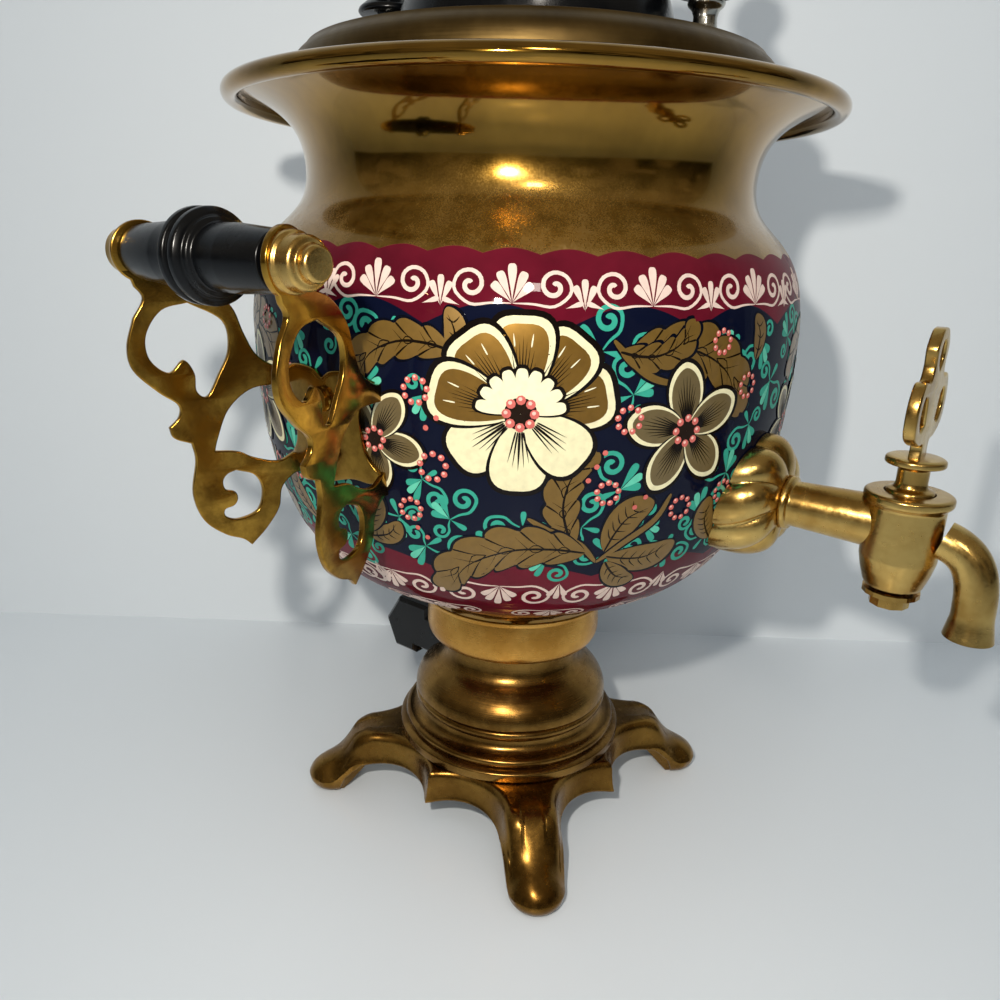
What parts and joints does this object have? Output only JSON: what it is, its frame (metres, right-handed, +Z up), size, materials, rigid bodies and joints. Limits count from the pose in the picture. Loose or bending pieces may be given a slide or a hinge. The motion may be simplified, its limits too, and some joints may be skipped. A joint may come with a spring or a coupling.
{
  "type": "samovar",
  "caption": "Electric samovar: pear-shaped brass body on a legged base, drum lid with a teapot rest, carrying handles at the sides and a tap with a turning key.",
  "frame": {"origin": "middle of the footprint's box, on the table that the feet stand on", "axes": "+Z up, the tap points along -Y, the mains inlet faces +Y, the handles lie along -X and +X"},
  "size_m": [0.2818, 0.2666, 0.3172],
  "materials": {
    "polished_brass": "polished and lacquered, painted floral band",
    "satin_brass": "satin, slightly dulled",
    "aged_brass": "aged stamping with dark patina in the corners",
    "cast_brass": "cast and polished, yellow",
    "nickel": "nickel plated, bright",
    "steel": "zinc plated steel",
    "black_plastic": "glossy black",
    "rubber": "dark seal rubber",
    "insulation": "heat resistant sleeve"
  },
  "bodies": {
    "samovar": {"body": "polished_brass", "base": "satin_brass", "pedestal": "satin_brass", "collar": "satin_brass", "seat_ring": "satin_brass", "bracket_left": "aged_brass", "bracket_right": "aged_brass", "ferrule_left_a": "aged_brass", "ferrule_left_b": "aged_brass", "ferrule_right_a": "aged_brass", "ferrule_right_b": "aged_brass", "bracket_screw_left_upper": "aged_brass", "bracket_screw_left_lower": "aged_brass", "bracket_screw_right_upper": "aged_brass", "bracket_screw_right_lower": "aged_brass", "tap_rosette": "cast_brass", "tap_body": "cast_brass", "heater_tube": "nickel", "inlet_pin_live": "nickel", "inlet_pin_neutral": "nickel", "earth_contact": "nickel", "bottom_cover": "steel", "tie_bolt": "steel", "tie_washer": "steel", "tie_nut": "steel", "heater_nut_live": "steel", "heater_nut_neutral": "steel", "tap_nut": "steel", "grip_rod_left": "steel", "grip_rod_right": "steel", "bracket_nut_left_upper": "steel", "bracket_nut_left_lower": "steel", "bracket_nut_right_upper": "steel", "bracket_nut_right_lower": "steel", "grip_left": "black_plastic", "grip_right": "black_plastic", "inlet_housing": "black_plastic", "tie_seal": "rubber", "heater_gasket_live": "rubber", "heater_gasket_neutral": "rubber", "tap_gasket": "rubber", "lead_live": "insulation", "lead_neutral": "insulation", "lead_earth": "insulation"},
    "lid": {"lid": "satin_brass", "lid_post_1": "nickel", "lid_post_2": "nickel", "lid_knob_1": "black_plastic", "lid_knob_2": "black_plastic", "lid_nut_1": "steel", "lid_nut_2": "steel", "crown": "black_plastic", "crown_nut": "steel", "crown_screw": "steel"},
    "tap_key": {"tap_key": "cast_brass", "key_washer": "cast_brass", "key_screw": "cast_brass"}
  },
  "joints": [
    {"name": "lid_lift", "type": "slide", "parent": "samovar", "child": "lid", "axis": [0, 0, 1], "range_m": [0, 0.06]},
    {"name": "tap_key_turn", "type": "hinge", "parent": "samovar", "child": "tap_key", "pos_m": [0, -0.1047, 0.147], "axis": [0, 0, 1], "range_deg": [0, 90]}
  ]
}
